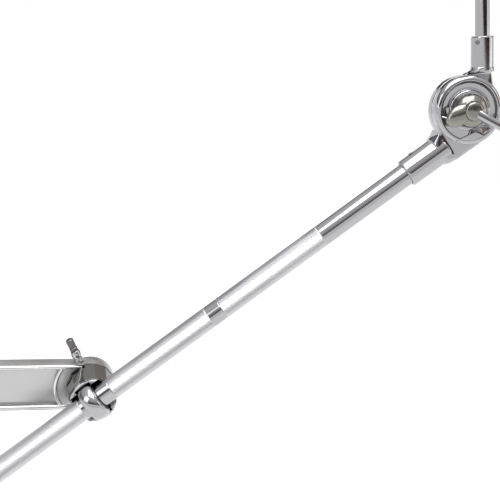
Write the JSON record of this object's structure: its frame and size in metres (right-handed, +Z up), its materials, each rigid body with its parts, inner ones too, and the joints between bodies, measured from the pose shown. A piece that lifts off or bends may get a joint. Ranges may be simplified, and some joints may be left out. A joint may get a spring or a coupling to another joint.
{
  "type": "cymbal boom arm with tube clamp",
  "caption": "Knurled boom rod with a ratchet tilter and upright cymbal rod, held by an eye-bolt clamp on a cast arm that grips a vertical stand tube.",
  "frame": {"origin": "on the axis of the vertical stand tube, level with the middle of the cast arm", "axes": "+Z up along the stand tube, +X along the cast arm towards its boss, +Y back, away from the boom rod"},
  "size_m": [0.3938, 0.0711, 0.4387],
  "materials": {
    "polished_chrome": "polished chrome plate",
    "knurled_chrome": "chrome plate with two fine knurled stretches",
    "seat_chrome": "smooth chrome plate, dark reflections",
    "cast_aluminium": "satin cast, rims polished",
    "plated_steel": "bright zinc plate",
    "dark_steel": "dark plated steel",
    "black_nylon": "moulded nylon",
    "black_rubber": "moulded rubber",
    "wool_felt": "dense wool felt"
  },
  "bodies": {
    "arm": {"arm_casting": "cast_aluminium", "tube_liner_fixed": "black_nylon", "lock_screw": "dark_steel", "lock_screw_nut": "dark_steel", "jaw_hinge_pin": "plated_steel", "clamp_bolt": "plated_steel"},
    "jaw": {"tube_jaw": "cast_aluminium", "tube_liner_moving": "black_nylon"},
    "clamp_washer": {"clamp_washer": "polished_chrome"},
    "clamp_nut": {"clamp_wing_nut": "polished_chrome"},
    "swivel": {"rod_seat": "seat_chrome", "eye_bolt": "polished_chrome", "eye_washer": "polished_chrome"},
    "eye_nut": {"eye_lock_nut": "plated_steel"},
    "bushing": {"eye_bushing": "black_nylon"},
    "boom": {"boom_rod": "knurled_chrome", "rod_end_cap": "black_rubber", "lower_tilter_casting": "polished_chrome", "lower_ratchet_ring": "plated_steel", "lower_socket_screw": "dark_steel", "tilter_spring": "plated_steel", "tilter_bolt": "plated_steel", "tilter_washer": "polished_chrome"},
    "tilter_nut": {"tilter_lever_nut": "polished_chrome"},
    "post": {"upper_tilter_casting": "polished_chrome", "upper_ratchet_ring": "plated_steel", "upper_socket_screw": "dark_steel", "cymbal_rod": "polished_chrome", "seat_stop_nut": "polished_chrome", "seat_washer": "polished_chrome", "cymbal_sleeve": "black_nylon", "lower_felt": "wool_felt", "upper_felt": "wool_felt"},
    "top_washer": {"top_washer": "polished_chrome"},
    "cymbal_nut": {"cymbal_wing_nut": "polished_chrome"}
  },
  "joints": [
    {"name": "clamp_nut_travel", "type": "slide", "parent": "arm", "child": "clamp_washer", "axis": [-1, 0, 0], "range_m": [0, 0.006]},
    {"name": "clamp_nut_spin", "type": "hinge", "parent": "clamp_washer", "child": "clamp_nut", "pos_m": [-0.016, -0.024, 0], "axis": [-1, 0, 0], "range_deg": [0, 2160]},
    {"name": "jaw_hinge", "type": "hinge", "parent": "arm", "child": "jaw", "pos_m": [0, 0.023, 0], "axis": [0, 0, -1], "range_deg": [0, 5]},
    {"name": "boom_swivel", "type": "hinge", "parent": "arm", "child": "swivel", "pos_m": [0.095, -0.022, 0], "axis": [0, -1, 0], "range_deg": [-24, 45]},
    {"name": "eye_nut_spin", "type": "hinge", "parent": "swivel", "child": "eye_nut", "pos_m": [0.095, 0.012, 0], "axis": [0, 1, 0], "continuous": true},
    {"name": "rod_roll", "type": "hinge", "parent": "swivel", "child": "bushing", "pos_m": [0.095, -0.022, 0], "axis": [0.7738, 0, 0.6334], "range_deg": [-90, 90]},
    {"name": "rod_slide", "type": "slide", "parent": "bushing", "child": "boom", "axis": [0.7738, 0, 0.6334], "range_m": [-0.1, 0.15]},
    {"name": "tilter_nut_spin", "type": "hinge", "parent": "boom", "child": "tilter_nut", "pos_m": [0.29162, -0.03196, 0.17659], "axis": [-0.1154, -0.9833, 0.141], "continuous": true},
    {"name": "tilt", "type": "hinge", "parent": "boom", "child": "post", "pos_m": [0.293, -0.02016, 0.1749], "axis": [0.1154, 0.9833, -0.141], "range_deg": [-50, 85]},
    {"name": "cymbal_nut_travel", "type": "slide", "parent": "post", "child": "top_washer", "axis": [-0.1043, 0.1532, 0.9827], "range_m": [0, 0.008]},
    {"name": "cymbal_nut_spin", "type": "hinge", "parent": "top_washer", "child": "cymbal_nut", "pos_m": [0.29224, -0.00538, 0.27733], "axis": [-0.1043, 0.1532, 0.9827], "range_deg": [0, 2304]}
  ],
  "couplings": [
    {"joint": "clamp_nut_travel", "follows": "clamp_nut_spin", "m_per_rad": 0.00015915},
    {"joint": "jaw_hinge", "follows": "clamp_nut_spin", "ratio": 0.0023148},
    {"joint": "cymbal_nut_travel", "follows": "cymbal_nut_spin", "m_per_rad": 0.00019894}
  ]
}
